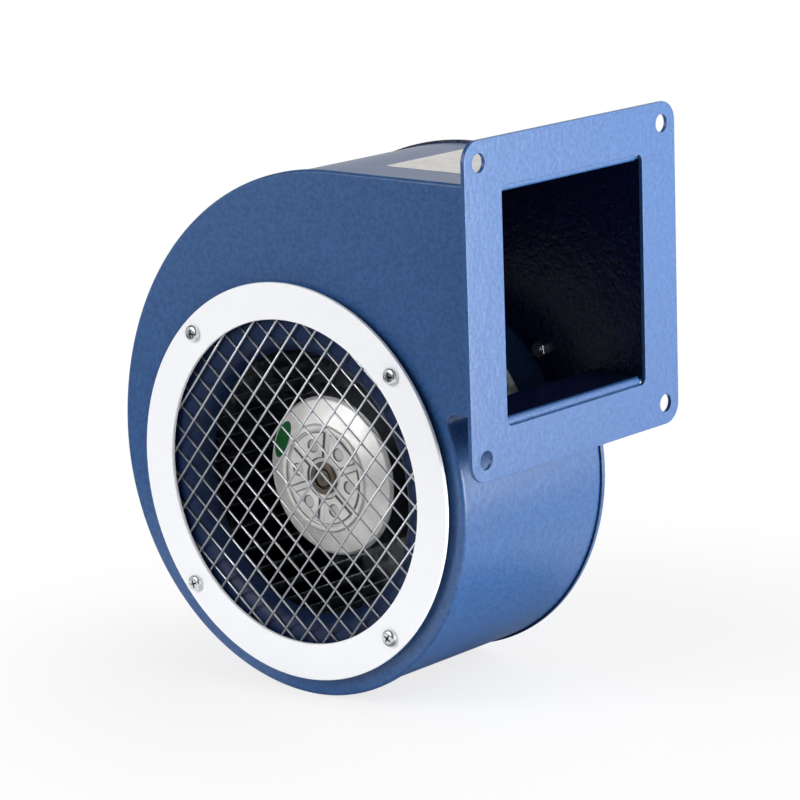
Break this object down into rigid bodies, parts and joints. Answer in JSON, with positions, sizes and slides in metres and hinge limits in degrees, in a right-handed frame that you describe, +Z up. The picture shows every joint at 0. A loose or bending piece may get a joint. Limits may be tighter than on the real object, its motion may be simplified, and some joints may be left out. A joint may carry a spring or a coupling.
{
  "type": "centrifugal fan",
  "caption": "Centrifugal fan: sheet-steel scroll casing with a guarded side inlet, a square flanged outlet and a forward-curved impeller on an external rotor motor.",
  "frame": {"origin": "centre of the outlet flange's four holes, on the flange's outer face", "axes": "+X leaves the outlet, +Z up, the inlet faces -Y and the shaft lies along Y"},
  "size_m": [0.2275, 0.144, 0.2615],
  "materials": {
    "blue_powder_coat": "glossy with fine orange peel",
    "white_powder_coat": "glossy",
    "zinc_wire": "satin",
    "zinc_screws": "satin",
    "cast_aluminium": "satin, as cast",
    "turned_steel": "fine turned",
    "black_painted_steel": "satin",
    "galvanised_sheet": "satin",
    "electrical_steel": "matt, laminated",
    "enamelled_copper": "varnished",
    "bearing_steel": "polished",
    "black_rubber": "matt",
    "green_sticker": "glossy film",
    "white_label": "matt film"
  },
  "bodies": {
    "housing": {"front_side_plate": "blue_powder_coat", "rear_side_plate": "blue_powder_coat", "scroll_wrap": "blue_powder_coat", "outlet_flange": "blue_powder_coat", "inlet_nozzle": "blue_powder_coat", "guard_front_wires": "zinc_wire", "guard_rear_wires": "zinc_wire", "guard_ring": "white_powder_coat", "guard_screws": "zinc_screws", "motor_plate": "blue_powder_coat", "motor_plate_screws": "zinc_screws", "motor_plate_nuts": "zinc_screws", "stator_flange": "cast_aluminium", "stator_screws": "zinc_screws", "cable_grommet": "black_rubber", "stator_stack": "electrical_steel", "stator_windings": "enamelled_copper", "front_bearing_outer": "bearing_steel", "rear_bearing_outer": "bearing_steel", "rating_label": "white_label"},
    "rotor": {"shaft": "turned_steel", "rotor_hub": "turned_steel", "rotor_cap": "cast_aluminium", "rotor_shell": "black_painted_steel", "rotor_core": "electrical_steel", "front_bearing_inner": "bearing_steel", "rear_bearing_inner": "bearing_steel", "impeller_back_plate": "galvanised_sheet", "impeller_front_ring": "galvanised_sheet", "impeller_blades": "galvanised_sheet", "impeller_rivets": "zinc_screws", "inspection_sticker": "green_sticker"}
  },
  "joints": [
    {"name": "impeller_spin", "type": "hinge", "parent": "housing", "child": "rotor", "pos_m": [-0.12, 0, -0.0935], "axis": [0, 1, 0], "continuous": true}
  ]
}
